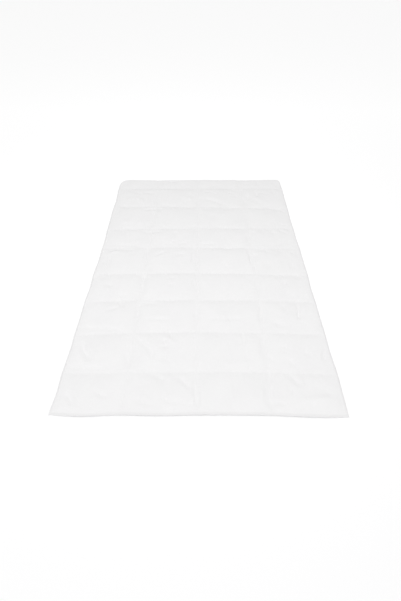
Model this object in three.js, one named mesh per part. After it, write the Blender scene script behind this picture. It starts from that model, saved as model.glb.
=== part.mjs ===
import * as THREE from "three";

// A light summer duvet as it lies: a filled cover, stitched through into nine bands of four boxes.
// X runs across the width, Y from the near end to the far end, Z up, in millimetres.
// It lies on z = 0. Its far end is turned a little under itself.

// Lying size. Made 1350 by 2000; the filling draws it in, and the turned-under end takes the rest.
const WIDTH = 1340;
const LENGTH = 1948;
const HEM = 12;
const TURNED_UNDER = 50;

// Heights above the surface it lies on, and how far the hem droops from there to its edge
const SEAM_TOP = 8;
const SEAM_UNDER = 4;
const HEM_TOP = 8.2;
const HEM_UNDER = 5.4;
const NEAR_DROOP = 1.5;
const SIDE_DROOP = 6;
const LOFT = 9.5;
const FOLD_TOP = 15;

// The filling rises steeply beside a seam, ever less farther from it, and lies almost level between two:
// how far from a seam it has two thirds of its height, how round the bottom of a seam is, and how much of
// the height is a gentle dome. It lies towards the far side of each band, so it rises more gently from
// the seam on the near side.
const CROSS_VALLEY = 27;
const NEAR_VALLEY = 52;
const LONG_VALLEY = 20;
const SIDE_VALLEY = 24;
const SEAM_ROUNDING = 5;
const DOME = 0.16;

// Crosswise seams, near to far: how far from the near end at the left side, middle and right side,
// and how much of the full depth the filling leaves open at the left and right
const CROSS_SEAMS = [
  { left: 192, middle: 202, right: 193, openLeft: 0.92, openRight: 0.96 },
  { left: 412, middle: 430, right: 416, openLeft: 1, openRight: 0.94 },
  { left: 632, middle: 651, right: 635, openLeft: 1, openRight: 1 },
  { left: 852, middle: 863, right: 846, openLeft: 1, openRight: 1 },
  { left: 1092, middle: 1101, right: 1086, openLeft: 0.96, openRight: 1 },
  { left: 1284, middle: 1304, right: 1308, openLeft: 0.8, openRight: 1 },
  { left: 1565, middle: 1561, right: 1539, openLeft: 0.84, openRight: 1 },
  { left: 1810, middle: 1821, right: 1819, openLeft: 0.98, openRight: 0.66 },
];

// Lengthwise seams, left to right: how far from the centre line at the near end, middle and far end,
// and how deep each is there as a share of a full seam
const LONG_SEAMS = [
  { near: -356, middle: -347, far: -357, depthNear: 0.65, depthMiddle: 0.95, depthFar: 0.45 },
  { near: -15, middle: -18, far: -22, depthNear: 0.6, depthMiddle: 0.8, depthFar: 0.3 },
  { near: 324, middle: 346, far: 318, depthNear: 1.05, depthMiddle: 0.8, depthFar: 0.5 },
];

// How full each box is filled, near band first
const FULLNESS = [
  { left: 0.84, midLeft: 0.96, midRight: 0.9, right: 0.8 },
  { left: 0.95, midLeft: 1.04, midRight: 1.0, right: 0.88 },
  { left: 0.92, midLeft: 1.0, midRight: 1.06, right: 0.9 },
  { left: 0.98, midLeft: 1.08, midRight: 1.02, right: 0.98 },
  { left: 0.88, midLeft: 1.04, midRight: 1.08, right: 0.94 },
  { left: 0.86, midLeft: 0.94, midRight: 0.96, right: 0.82 },
  { left: 0.98, midLeft: 1.06, midRight: 1.0, right: 0.96 },
  { left: 1.02, midLeft: 1.1, midRight: 1.04, right: 0.98 },
  { left: 0.9, midLeft: 1.0, midRight: 1.02, right: 0.94 },
];

// How far each long side stands out from a straight line, by distance from the near end.
// It stands out at a seam and is drawn in by the filling between two seams.
const SIDES = [
  { at: 0, left: 7, right: -4 },
  { at: 100, left: 1, right: 0 },
  { at: 193, left: 4, right: 3 },
  { at: 330, left: -1, right: -1 },
  { at: 419, left: 1, right: 1 },
  { at: 530, left: -1, right: 0 },
  { at: 635, left: 1, right: 1 },
  { at: 750, left: -5, right: -1 },
  { at: 862, left: -1, right: 3 },
  { at: 985, left: -7, right: 2 },
  { at: 1097, left: -6, right: 3 },
  { at: 1190, left: -7, right: -1 },
  { at: 1282, left: -3, right: 0 },
  { at: 1410, left: -1, right: -2 },
  { at: 1532, left: 1, right: 1 },
  { at: 1670, left: -2, right: 1 },
  { at: 1810, left: 6, right: 4 },
  { at: 1890, left: 2, right: 0 },
  { at: 1948, left: 0, right: -2 },
];

// How far each end stands out from a straight line, by the share of the width from the left side
const ENDS = [
  { across: 0, near: 1, far: -4 },
  { across: 0.05, near: 5.5, far: 2 },
  { across: 0.12, near: 7.5, far: 0 },
  { across: 0.24, near: 1.5, far: -1 },
  { across: 0.38, near: 4, far: -1 },
  { across: 0.49, near: 0.5, far: 4 },
  { across: 0.62, near: 0, far: 1 },
  { across: 0.75, near: 1.5, far: 6 },
  { across: 0.86, near: 7.5, far: 3 },
  { across: 0.94, near: 9.5, far: 9 },
  { across: 1, near: 7.5, far: 7 },
];

// Far corners: how far along each side the rounding reaches
const LEFT_CORNER = 68;
const RIGHT_CORNER = 42;

// Creases in the upper face, from one end to the other; a ridge has a negative depth
const CREASES = [
  { fromX: -654, fromY: 103, toX: -578, toY: 48, width: 21, depth: 2.4 },
  { fromX: 426, fromY: 178, toX: 530, toY: 108, width: 22, depth: 1.5 },
  { fromX: 500, fromY: 166, toX: 622, toY: 80, width: 24, depth: 2.0 },
  { fromX: -104, fromY: 168, toX: -48, toY: 124, width: 22, depth: 1.6 },
  { fromX: -228, fromY: 182, toX: -151, toY: 130, width: 20, depth: 1.2 },
  { fromX: -628, fromY: 366, toX: -540, toY: 260, width: 24, depth: 2.6 },
  { fromX: -334, fromY: 376, toX: -204, toY: 286, width: 21, depth: 1.8 },
  { fromX: -300, fromY: 330, toX: -188, toY: 256, width: 20, depth: 1.4 },
  { fromX: 634, fromY: 346, toX: 628, toY: 266, width: 20, depth: 2.0 },
  { fromX: -166, fromY: 412, toX: -120, toY: 350, width: 20, depth: 1.8 },
  { fromX: 178, fromY: 402, toX: 222, toY: 358, width: 20, depth: 1.8 },
  { fromX: 396, fromY: 494, toX: 618, toY: 440, width: 26, depth: 3.0 },
  { fromX: 424, fromY: 578, toX: 536, toY: 508, width: 24, depth: -1.7 },
  { fromX: 562, fromY: 606, toX: 556, toY: 508, width: 22, depth: 2.4 },
  { fromX: 476, fromY: 620, toX: 470, toY: 574, width: 20, depth: 1.8 },
  { fromX: -656, fromY: 838, toX: -566, toY: 816, width: 20, depth: 2.0 },
  { fromX: -656, fromY: 912, toX: -574, toY: 894, width: 20, depth: 1.8 },
  { fromX: -658, fromY: 960, toX: -584, toY: 950, width: 20, depth: 1.6 },
  { fromX: 360, fromY: 1706, toX: 516, toY: 1556, width: 28, depth: 2.8 },
  { fromX: 12, fromY: 1670, toX: 202, toY: 1582, width: 28, depth: 3.2 },
  { fromX: 64, fromY: 1874, toX: 316, toY: 1768, width: 26, depth: 3.0 },
  { fromX: -338, fromY: 398, toX: -236, toY: 310, width: 15, depth: 4.2 },
  { fromX: -236, fromY: 198, toX: -162, toY: 154, width: 15, depth: 3.8 },
  { fromX: 322, fromY: 304, toX: 336, toY: 262, width: 16, depth: 4.4 },
  { fromX: 404, fromY: 496, toX: 446, toY: 468, width: 16, depth: 3.8 },
  { fromX: 470, fromY: 626, toX: 472, toY: 588, width: 15, depth: 3.8 },
  { fromX: -412, fromY: 860, toX: -330, toY: 824, width: 19, depth: 4.2 },
  { fromX: 586, fromY: 1080, toX: 618, toY: 1034, width: 15, depth: 3.8 },
  { fromX: -552, fromY: 1296, toX: -536, toY: 1244, width: 17, depth: 4.4 },
  { fromX: -347, fromY: 1306, toX: -330, toY: 1266, width: 16, depth: 4.0 },
  { fromX: 284, fromY: 1302, toX: 338, toY: 1282, width: 16, depth: 4.0 },
  { fromX: -442, fromY: 1580, toX: -400, toY: 1568, width: 17, depth: 4.0 },
  { fromX: -120, fromY: 1552, toX: -60, toY: 1552, width: 19, depth: 4.2 },
  { fromX: -532, fromY: 1776, toX: -478, toY: 1728, width: 21, depth: 4.8 },
  { fromX: -592, fromY: 1806, toX: -552, toY: 1766, width: 19, depth: 4.2 },
];

// Soft hollows, most of them where two seams cross or where a seam meets the side
const HOLLOWS = [
  { x: -352, y: 818, radius: 34, depth: 3.4 },
  { x: 345, y: 822, radius: 32, depth: 4.0 },
  { x: 366, y: 290, radius: 42, depth: 2.4 },
  { x: 470, y: 1284, radius: 55, depth: 1.8 },
  { x: 590, y: 1500, radius: 48, depth: 2.4 },
  { x: -22, y: 1090, radius: 30, depth: 2.0 },
  { x: -350, y: 1082, radius: 30, depth: 2.0 },
  { x: -640, y: 416, radius: 28, depth: 2.2 },
  { x: -642, y: 632, radius: 28, depth: 2.2 },
  { x: -640, y: 1094, radius: 28, depth: 2.2 },
  { x: -632, y: 662, radius: 27, depth: 3.8 },
  { x: 312, y: 810, radius: 28, depth: 4.4 },
  { x: -348, y: 988, radius: 27, depth: 4.2 },
  { x: 506, y: 1496, radius: 30, depth: 4.2 },
];

// Lines of points across one box, as shares of it
const UPPER_BAND_STEPS = [0, 0.045, 0.1, 0.2, 0.5, 0.8, 0.9, 0.955];
const UPPER_BOX_STEPS = [0, 0.036, 0.085, 0.16, 0.38, 0.62, 0.84, 0.915, 0.964];
const LOWER_BAND_STEPS = [0, 0.14, 0.5, 0.86];
const LOWER_BOX_STEPS = [0, 0.1, 0.5, 0.9];

// The rim, outwards from the hem's stitch line: distance in from the outline, and the share of the height
// between mid-thickness and the face, on the flat hem and on the rounded far end
const UPPER_RIM = [
  { inset: 6, hem: 1.3, rounded: 0.86 },
  { inset: 1.4, hem: 0.85, rounded: 0.47 },
  { inset: 0, hem: 0, rounded: 0 },
];
const LOWER_RIM = { inset: 4, hem: 0.8, rounded: 0.75 };

// The upper face gets more points where straight edges would miss a crease by more than this
const MISS = 0.27;
const SHORTEST_EDGE = 12;
const ROUNDS = 3;

const BANDS = FULLNESS.length;
const BOXES = LONG_SEAMS.length + 1;
const FULLNESS_COLUMNS = ["left", "midLeft", "midRight", "right"];
const LAST_BAND = LENGTH - HEM - CROSS_SEAMS[BANDS - 2].middle;

const clamp = THREE.MathUtils.clamp;
const lerp = THREE.MathUtils.lerp;

function smoothstep(from, to, value) {
  const t = clamp((value - from) / (to - from), 0, 1);
  return t * t * (3 - 2 * t);
}

// Smooth curve through the rows of a table
function along(table, key, column, value) {
  const last = table.length - 1;
  let k = 0;
  while (k < last - 1 && value > table[k + 1][key]) k += 1;
  const before = table[Math.max(k - 1, 0)];
  const start = table[k];
  const end = table[k + 1];
  const after = table[Math.min(k + 2, last)];
  const span = end[key] - start[key];
  const t = clamp((value - start[key]) / span, 0, 1);
  const leave = ((end[column] - before[column]) / (end[key] - before[key])) * span;
  const arrive = ((after[column] - start[column]) / (after[key] - start[key])) * span;
  const rise = end[column] - start[column];
  const curve = (leave + arrive - 2 * rise) * t + (3 * rise - 2 * leave - arrive);
  return start[column] + leave * t + curve * t * t;
}

// Smooth curve through a first, middle and last value
function bow(first, middle, last, t) {
  return first * (1 - t) * (1 - 2 * t) + middle * 4 * t * (1 - t) + last * t * (2 * t - 1);
}

// Hand-guided seams wander a little
function wander(k, t) {
  return 1.6 * Math.sin(9 * t + 2.3 * k) + 1.1 * Math.sin(23 * t + 1.1 * k);
}

// Distance from the near end of crosswise line k, where 0 and BANDS are the hem's lines
function crossLine(k, across) {
  if (k === 0) return HEM - along(ENDS, "across", "near", across);
  if (k === BANDS) return LENGTH - HEM + along(ENDS, "across", "far", across);
  const seam = CROSS_SEAMS[k - 1];
  return bow(seam.left, seam.middle, seam.right, across) + wander(k, across);
}

// Distance from the centre line of lengthwise line k, where 0 and BOXES are the hem's lines
function longLine(k, y) {
  const lengthwise = clamp(y / LENGTH, 0, 1);
  if (k === 0) return -WIDTH / 2 + HEM - along(SIDES, "at", "left", y);
  if (k === BOXES) return WIDTH / 2 - HEM + along(SIDES, "at", "right", y);
  const seam = LONG_SEAMS[k - 1];
  return bow(seam.near, seam.middle, seam.far, lengthwise) + wander(k + 5, lengthwise);
}

// A far corner is rounded: points near it are drawn in towards the middle
function roundCorner(point, sideX, endY, reach, outwards) {
  const s = 1 - ((sideX - point.x) * outwards) / reach;
  const t = 1 - (endY - point.y) / reach;
  if (s <= 0 || t <= 0) return;
  point.x = sideX - outwards * reach * (1 - s * Math.sqrt(1 - (t * t) / 2));
  point.y = endY - reach * (1 - t * Math.sqrt(1 - (s * s) / 2));
}

// Plan position of a grid place. column and row count boxes and bands from the hem's stitch lines;
// sideways and endways are how far outside those lines it lies, on the hem itself.
function planPoint(column, row, sideways, endways) {
  const across = clamp(column / BOXES, 0, 1);
  const band = clamp(Math.floor(row), 0, BANDS - 1);
  const nearLine = crossLine(band, across);
  const farLine = crossLine(band + 1, across);
  const y = lerp(nearLine, farLine, row - band) + endways;
  const box = clamp(Math.floor(column), 0, BOXES - 1);
  const x = lerp(longLine(box, y), longLine(box + 1, y), column - box) + sideways;
  const point = { x, y };
  const end = crossLine(BANDS, across) + HEM;
  roundCorner(point, longLine(0, y) - HEM, end, LEFT_CORNER, -1);
  roundCorner(point, longLine(BOXES, y) + HEM, end, RIGHT_CORNER, 1);
  return point;
}

// How deep crosswise line k is, as a share of a full seam. The rounded far end has no seam of its own.
function crossDepth(k, across) {
  if (k === 0) return 1;
  if (k === BANDS) return 0;
  const seam = CROSS_SEAMS[k - 1];
  return lerp(seam.openLeft, seam.openRight, across);
}

// How deep lengthwise line k is, as a share of a full seam
function longDepth(k, y) {
  if (k === 0 || k === BOXES) return 1;
  const seam = LONG_SEAMS[k - 1];
  return bow(seam.depthNear, seam.depthMiddle, seam.depthFar, clamp(y / LENGTH, 0, 1));
}

// How much of a seam's depth is left at a distance from it
function valley(distance, reach) {
  return Math.exp(-(Math.hypot(distance, SEAM_ROUNDING) - SEAM_ROUNDING) / reach);
}

function nearReach(band) {
  return band === 0 ? CROSS_VALLEY : NEAR_VALLEY;
}

// The filling rises less steeply from the hem's lines than from a lengthwise seam
function longReach(k) {
  return k === 0 || k === BOXES ? SIDE_VALLEY : LONG_VALLEY;
}

// A crease is a soft trough with a slight swell on both sides that fades out at its ends
function creaseHeight(crease, x, y) {
  const dx = crease.toX - crease.fromX;
  const dy = crease.toY - crease.fromY;
  const size = Math.hypot(dx, dy);
  const lengthwise = ((x - crease.fromX) * dx + (y - crease.fromY) * dy) / size;
  const aside = ((x - crease.fromX) * dy - (y - crease.fromY) * dx) / size;
  const t = aside / crease.width;
  const fade = crease.width * 1.6;
  const start = smoothstep(-fade, fade, lengthwise);
  const end = smoothstep(-fade, fade, size - lengthwise);
  return -crease.depth * (1 - 0.6 * t * t) * Math.exp(-t * t / 1.4) * start * end;
}

function hollowHeight(hollow, x, y) {
  const t = Math.hypot(x - hollow.x, y - hollow.y) / hollow.radius;
  return -hollow.depth * Math.exp(-t * t);
}

// Filling is never spread quite evenly
function lumps(x, y) {
  const broad = Math.sin(x / 143 + 0.7) * Math.sin(y / 171 + 1.9);
  const fine = Math.sin(x / 61 + y / 97 + 0.4) * Math.sin(y / 74 - x / 118);
  return 0.9 * broad + 0.7 * fine;
}

// At the two near corners the hem sinks to the surface it lies on
function nearCorner(point) {
  const toSide = WIDTH / 2 - Math.abs(point.x);
  return Math.exp(-(toSide * toSide + point.y * point.y) / 5200);
}

// Distance of a row from the far end
function toFarEnd(row) {
  return HEM + (BANDS - row) * LAST_BAND;
}

// How much a row belongs to the rounded far end, where the cover is turned under and lies double
function farEnd(row) {
  return 1 - smoothstep(TURNED_UNDER - 15, TURNED_UNDER + 50, toFarEnd(row));
}

function hemTop(row, point) {
  return lerp(HEM_TOP - 4.3 * nearCorner(point), FOLD_TOP, farEnd(row));
}

function hemUnder(row, point) {
  return lerp(HEM_UNDER - 4.8 * nearCorner(point), 0.6, farEnd(row));
}

function creasesHeight(point, filling, inside) {
  let height = 0;
  for (const crease of CREASES) {
    height += creaseHeight(crease, point.x, point.y) * (0.25 + 0.75 * filling) * inside;
  }
  for (const hollow of HOLLOWS) {
    height += hollowHeight(hollow, point.x, point.y) * filling;
  }
  return height;
}

// The upper face's smooth height and what the creases add to it
function upperParts(column, row, point) {
  const band = clamp(Math.floor(row), 0, BANDS - 1);
  const box = clamp(Math.floor(column), 0, BOXES - 1);
  const across = column / BOXES;
  const p = row - band;
  const q = column - box;
  const bandSize = crossLine(band + 1, across) - crossLine(band, across);
  const boxSize = longLine(box + 1, point.y) - longLine(box, point.y);
  const nearSeam = crossDepth(band, across) * valley(p * bandSize, nearReach(band));
  const farSeam = crossDepth(band + 1, across) * valley((1 - p) * bandSize, CROSS_VALLEY);
  const leftSeam = longDepth(box, point.y) * valley(q * boxSize, longReach(box));
  const rightSeam = longDepth(box + 1, point.y) * valley((1 - q) * boxSize, longReach(box + 1));
  const dome = 1 - DOME * (1 - 16 * p * (1 - p) * q * (1 - q));
  const filling = (1 - nearSeam - farSeam) * (1 - leftSeam - rightSeam) * dome;
  const inside = clamp(Math.min(row, column, BOXES - column) * 6, 0, 1);
  const base = lerp(hemTop(row, point), SEAM_TOP, inside);
  const loft = LOFT * FULLNESS[band][FULLNESS_COLUMNS[box]];
  const height = base + loft * filling + lumps(point.x, point.y) * filling;
  return { smooth: height, creases: creasesHeight(point, filling, inside) };
}

function upperHeight(column, row, point) {
  const { smooth, creases } = upperParts(column, row, point);
  return smooth + creases;
}

// The lower face lies flat under each box and lifts at the seams. Under the far end the hem is turned in,
// and its edge shows as a groove across the underside.
function lowerHeight(column, row, point) {
  const band = clamp(Math.floor(row), 0, BANDS - 1);
  const box = clamp(Math.floor(column), 0, BOXES - 1);
  const p = row - band;
  const q = column - box;
  const nearShare = 1 - Math.min(1, p / 0.14);
  const farShare = band === BANDS - 1 ? 0 : 1 - Math.min(1, (1 - p) / 0.14);
  const sideShare = 1 - Math.min(1, Math.min(q, 1 - q) / 0.1);
  const onHem = row === 0 || column === 0 || column === BOXES;
  const top = onHem ? hemUnder(row, point) : SEAM_UNDER;
  const turned = toFarEnd(row);
  const groove = 1 - Math.min(1, Math.abs(turned - TURNED_UNDER) / 6);
  const underEnd = turned < TURNED_UNDER ? 0.5 : 1;
  const lift = Math.max(nearShare, farShare, sideShare * 0.9 * underEnd, groove * 0.8);
  return top * lift;
}

// Grid places: box or band counts across the filled part, then the rim outside it at both ends
function gridPlaces(steps, count, rim) {
  const inner = [];
  for (let k = 0; k < count; k += 1) {
    for (const step of steps) inner.push({ at: k + step, outside: 0, rim: -1 });
  }
  inner.push({ at: count, outside: 0, rim: -1 });
  const first = rim.map((ring, k) => ({ at: 0, outside: -(HEM - ring.inset), rim: k })).reverse();
  const last = rim.map((ring, k) => ({ at: count, outside: HEM - ring.inset, rim: k }));
  return [...first, ...inner, ...last];
}

class Surface {
  constructor() {
    this.positions = [];
    this.triangles = [];
    this.places = new Map();
  }

  add(x, y, z) {
    this.positions.push(x, y - LENGTH / 2, z);
    return this.positions.length / 3 - 1;
  }

  // The points of b are one side of the strip and those of a the other, both in the same direction
  quad(a0, a1, b1, b0, rising) {
    if (rising) this.triangles.push(a0, a1, b1, a0, b1, b0);
    else this.triangles.push(a0, a1, b0, a1, b1, b0);
  }

  planLength(a, b) {
    const p = this.positions;
    return Math.hypot(p[3 * a] - p[3 * b], p[3 * a + 1] - p[3 * b + 1]);
  }

  // The three edges of each triangle
  edges() {
    const found = [];
    for (let k = 0; k < this.triangles.length; k += 3) {
      const [a, b, c] = this.triangles.slice(k, k + 3);
      found.push([[a, b], [b, c], [c, a]]);
    }
    return found;
  }

  // One triangle becomes two, three or four where one, two or three of its edges have a middle point
  divide(middleOf) {
    const corners = this.triangles;
    this.triangles = [];
    for (let k = 0; k < corners.length; k += 3) {
      let [a, b, c] = corners.slice(k, k + 3);
      let [ab, bc, ca] = [middleOf(a, b), middleOf(b, c), middleOf(c, a)];
      const found = [ab, bc, ca].filter((m) => m !== undefined).length;
      while ((found === 1 && ab === undefined) || (found === 2 && ca !== undefined)) {
        [a, b, c] = [b, c, a];
        [ab, bc, ca] = [bc, ca, ab];
      }
      if (found === 0) this.triangles.push(a, b, c);
      if (found === 1) this.triangles.push(a, ab, c, ab, b, c);
      if (found === 2) this.triangles.push(a, ab, bc, a, bc, c, ab, b, bc);
      if (found === 3) this.triangles.push(a, ab, ca, ab, b, bc, ca, bc, c, ab, bc, ca);
    }
  }

  geometry() {
    const geometry = new THREE.BufferGeometry();
    geometry.setAttribute("position", new THREE.Float32BufferAttribute(this.positions, 3));
    geometry.setIndex(this.triangles);
    geometry.computeBoundingBox();
    const box = geometry.boundingBox;
    geometry.translate(-(box.min.x + box.max.x) / 2, -(box.min.y + box.max.y) / 2, -box.min.z);
    geometry.computeVertexNormals();
    return geometry;
  }
}

// Mid-thickness of the rim beside a place on the hem's stitch line
function middleHeight(column, row, point) {
  return lerp(lowerHeight(column, row, point), upperHeight(column, row, point), 0.45);
}

// The hem droops towards its edge, more along the sides than at the near end
function hemDroop(ring, row, inner) {
  const full = lerp(NEAR_DROOP, SIDE_DROOP, smoothstep(0, 70, inner.y - HEM));
  return (full * (1 - ring.inset / HEM) * hemUnder(row, inner)) / HEM_UNDER;
}

function rimHeight(column, row, ring, face) {
  const inner = planPoint(column, row, 0, 0);
  const middle = middleHeight(column, row, inner);
  const share = lerp(ring.hem, ring.rounded, farEnd(row));
  return middle - hemDroop(ring, row, inner) + (face(column, row, inner) - middle) * share;
}

function upperFace(surface) {
  const columns = gridPlaces(UPPER_BOX_STEPS, BOXES, UPPER_RIM);
  const rows = gridPlaces(UPPER_BAND_STEPS, BANDS, UPPER_RIM);
  const grid = rows.map((row) =>
    columns.map((column) => {
      const point = planPoint(column.at, row.at, column.outside, row.outside);
      const rim = Math.max(column.rim, row.rim);
      if (rim < 0) {
        const { smooth, creases } = upperParts(column.at, row.at, point);
        const index = surface.add(point.x, point.y, smooth + creases);
        surface.places.set(index, { column: column.at, row: row.at, creases });
        return index;
      }
      return surface.add(point.x, point.y, rimHeight(column.at, row.at, UPPER_RIM[rim], upperHeight));
    }),
  );
  for (let r = 0; r + 1 < rows.length; r += 1) {
    for (let c = 0; c + 1 < columns.length; c += 1) {
      surface.quad(grid[r][c], grid[r][c + 1], grid[r + 1][c + 1], grid[r + 1][c], (r + c) % 2 === 0);
    }
  }
  for (let round = 0; round < ROUNDS; round += 1) refine(surface);
  return { columns, rows, grid };
}

// The place half way between two points of the upper face, and whether a straight edge misses a crease there
function middlePlace(surface, a, b) {
  const first = surface.places.get(a);
  const second = surface.places.get(b);
  if (!first || !second) return undefined;
  const column = (first.column + second.column) / 2;
  const row = (first.row + second.row) / 2;
  const point = planPoint(column, row, 0, 0);
  const { smooth, creases } = upperParts(column, row, point);
  const missed = Math.abs(creases - (first.creases + second.creases) / 2);
  const misses = missed > MISS && surface.planLength(a, b) > SHORTEST_EDGE;
  return { column, row, creases, point, height: smooth + creases, misses };
}

// An edge that misses a crease gets a point of its own in its middle. So does the longest edge of each
// triangle that is divided, which keeps the triangles well shaped.
function refine(surface) {
  const middles = new Map();
  const marked = new Set();
  const keyOf = (a, b) => Math.min(a, b) + " " + Math.max(a, b);
  const edges = surface.edges();
  for (const [a, b] of edges.flat()) {
    const key = keyOf(a, b);
    if (middles.has(key)) continue;
    middles.set(key, middlePlace(surface, a, b));
    if (middles.get(key)?.misses) marked.add(key);
  }
  let before = 0;
  while (marked.size > before) {
    before = marked.size;
    for (const sides of edges) {
      if (!sides.some(([a, b]) => marked.has(keyOf(a, b)))) continue;
      const lengths = sides.map(([a, b]) => surface.planLength(a, b));
      const longest = keyOf(...sides[lengths.indexOf(Math.max(...lengths))]);
      if (middles.get(longest)) marked.add(longest);
    }
  }
  const added = new Map();
  for (const key of marked) {
    const { column, row, creases, point, height } = middles.get(key);
    const index = surface.add(point.x, point.y, height);
    surface.places.set(index, { column, row, creases });
    added.set(key, index);
  }
  surface.divide((a, b) => added.get(keyOf(a, b)));
}

// The outline of a grid, anticlockwise seen from above, with each place's column and row
function outlineOf(columns, rows, grid) {
  const loop = [];
  const lastRow = rows.length - 1;
  const lastColumn = columns.length - 1;
  const visit = (r, c) => loop.push({ column: columns[c], row: rows[r], index: grid[r][c] });
  for (let c = 0; c < lastColumn; c += 1) visit(0, c);
  for (let r = 0; r < lastRow; r += 1) visit(r, lastColumn);
  for (let c = lastColumn; c > 0; c -= 1) visit(lastRow, c);
  for (let r = lastRow; r > 0; r -= 1) visit(r, 0);
  return loop;
}

// How far round the outline a place is: the near end is 0 to 1, the right side 1 to 2, and so on
function turnOf(place, side) {
  const across = place.column.at / BOXES;
  const lengthwise = place.row.at / BANDS;
  return side + [across, lengthwise, 1 - across, 1 - lengthwise][side];
}

function sideOf(k, columnCount, rowCount) {
  if (k < columnCount - 1) return 0;
  if (k < columnCount + rowCount - 2) return 1;
  if (k < 2 * columnCount + rowCount - 3) return 2;
  return 3;
}

function lowerFace(surface, upper) {
  const outline = outlineOf(upper.columns, upper.rows, upper.grid);
  const ring = outline.map((place, k) => {
    const pull = HEM - LOWER_RIM.inset;
    const sideways = Math.sign(place.column.outside) * Math.min(pull, Math.abs(place.column.outside));
    const endways = Math.sign(place.row.outside) * Math.min(pull, Math.abs(place.row.outside));
    const point = planPoint(place.column.at, place.row.at, sideways, endways);
    const height = rimHeight(place.column.at, place.row.at, LOWER_RIM, lowerHeight);
    const side = sideOf(k, upper.columns.length, upper.rows.length);
    return { index: surface.add(point.x, point.y, height), turn: turnOf(place, side) };
  });
  for (let k = 0; k < outline.length; k += 1) {
    const next = (k + 1) % outline.length;
    surface.quad(outline[next].index, outline[k].index, ring[k].index, ring[next].index, true);
  }

  const grooveAt = (away) => BANDS - (TURNED_UNDER - HEM + away) / LAST_BAND;
  const columns = gridPlaces(LOWER_BOX_STEPS, BOXES, []);
  const bandRows = gridPlaces(LOWER_BAND_STEPS, BANDS, []);
  const plainRows = bandRows.filter((row) => row.at < grooveAt(12));
  const grooveRows = [6, 0, -6].map((away) => ({ at: grooveAt(away), outside: 0, rim: -1 }));
  const rows = [...plainRows, ...grooveRows, bandRows[bandRows.length - 1]];
  const grid = rows.map((row) =>
    columns.map((column) => {
      const point = planPoint(column.at, row.at, 0, 0);
      return surface.add(point.x, point.y, lowerHeight(column.at, row.at, point));
    }),
  );
  for (let r = 0; r + 1 < rows.length; r += 1) {
    for (let c = 0; c + 1 < columns.length; c += 1) {
      surface.quad(grid[r][c], grid[r + 1][c], grid[r + 1][c + 1], grid[r][c + 1], true);
    }
  }

  // The fine ring under the rim is joined to the coarser grid inside it
  const coarse = outlineOf(columns, rows, grid).map((place, k) => ({
    index: place.index,
    turn: turnOf(place, sideOf(k, columns.length, rows.length)),
  }));
  let i = 0;
  let j = 0;
  while (i < ring.length || j < coarse.length) {
    const nextRing = i + 1 < ring.length ? ring[i + 1].turn : 4;
    const nextCoarse = j + 1 < coarse.length ? coarse[j + 1].turn : 4;
    const outer = ring[i % ring.length].index;
    const inner = coarse[j % coarse.length].index;
    const ringFirst = j >= coarse.length || (i < ring.length && nextRing <= nextCoarse);
    if (ringFirst) {
      surface.triangles.push(outer, inner, ring[(i + 1) % ring.length].index);
      i += 1;
    } else {
      surface.triangles.push(outer, inner, coarse[(j + 1) % coarse.length].index);
      j += 1;
    }
  }
}

function buildDuvet() {
  const surface = new Surface();
  const upper = upperFace(surface);
  lowerFace(surface, upper);
  const material = new THREE.MeshStandardMaterial({
    color: new THREE.Color(0.93, 0.93, 0.94),
    roughness: 0.9,
    metalness: 0,
  });
  const duvet = new THREE.Mesh(surface.geometry(), material);
  duvet.name = "duvet";
  return duvet;
}

const part = new THREE.Group();
part.add(buildDuvet());
export default part;
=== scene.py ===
import math

import bpy
import numpy as np
from mathutils import Matrix, Vector


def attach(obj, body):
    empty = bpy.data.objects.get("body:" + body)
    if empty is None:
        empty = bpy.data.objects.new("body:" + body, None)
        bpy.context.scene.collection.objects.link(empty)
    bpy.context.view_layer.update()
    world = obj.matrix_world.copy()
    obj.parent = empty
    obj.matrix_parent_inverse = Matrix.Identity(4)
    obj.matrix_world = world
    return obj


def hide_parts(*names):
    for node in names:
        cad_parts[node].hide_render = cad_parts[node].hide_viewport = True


# The looks of a light summer duvet that lies flat. Sizes and tables are in millimetres, as in the part's
# own source, and y runs from the near end.

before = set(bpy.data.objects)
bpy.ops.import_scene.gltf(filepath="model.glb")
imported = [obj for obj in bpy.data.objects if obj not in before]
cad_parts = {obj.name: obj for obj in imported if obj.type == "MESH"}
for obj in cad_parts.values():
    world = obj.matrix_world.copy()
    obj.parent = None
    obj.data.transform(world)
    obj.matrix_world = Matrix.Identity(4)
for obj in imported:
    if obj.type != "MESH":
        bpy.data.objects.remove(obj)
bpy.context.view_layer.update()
scene = bpy.context.scene
MM = 0.001

# Camera: the photo's eye point and angle
EYE = (0.0055, -1.3985, 1.3663)
PITCH_DOWN = 51.69
YAW = 0.076
ROLL = 0.072
LENS = 17.89
SENSOR = 36.0

# Floor: half its side, and how far below the duvet it is, in metres
FLOOR = 30
FLOOR_GAP = 0.0004

# Two large soft lights from the near end: place and aim in metres, width and depth, power and colour
LIGHTS = [
    ("overhead_light", (-0.2, -0.7, 2.4), (-0.1, 0.7, 0.0), (3.0, 1.2), 13.0, (1.0, 0.998, 1.0)),
    ("near_light", (-0.5, -6.0, 3.6), (0.0, 0.0, 0.0), (2.4, 1.6), 52.0, (0.99, 0.98, 1.0)),
]

# Size as it lies
WIDTH = 1340.0
LENGTH = 1948.0
HEM = 12.0
TURNED_UNDER = 50.0
SEAM_TOP = 8.0
SEAM_UNDER = 4.0
HEM_TOP = 8.2
HEM_UNDER = 5.4
NEAR_DROOP = 1.5
SIDE_DROOP = 6.0
LOFT = 9.5
FOLD_TOP = 15.0
FOLD_UNDER = 0.6
CROSS_VALLEY = 27.0
NEAR_VALLEY = 52.0
LONG_VALLEY = 20.0
SIDE_VALLEY = 24.0
SEAM_ROUNDING = 5.0
DOME = 0.16
LEFT_CORNER = 68.0
RIGHT_CORNER = 42.0

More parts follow.
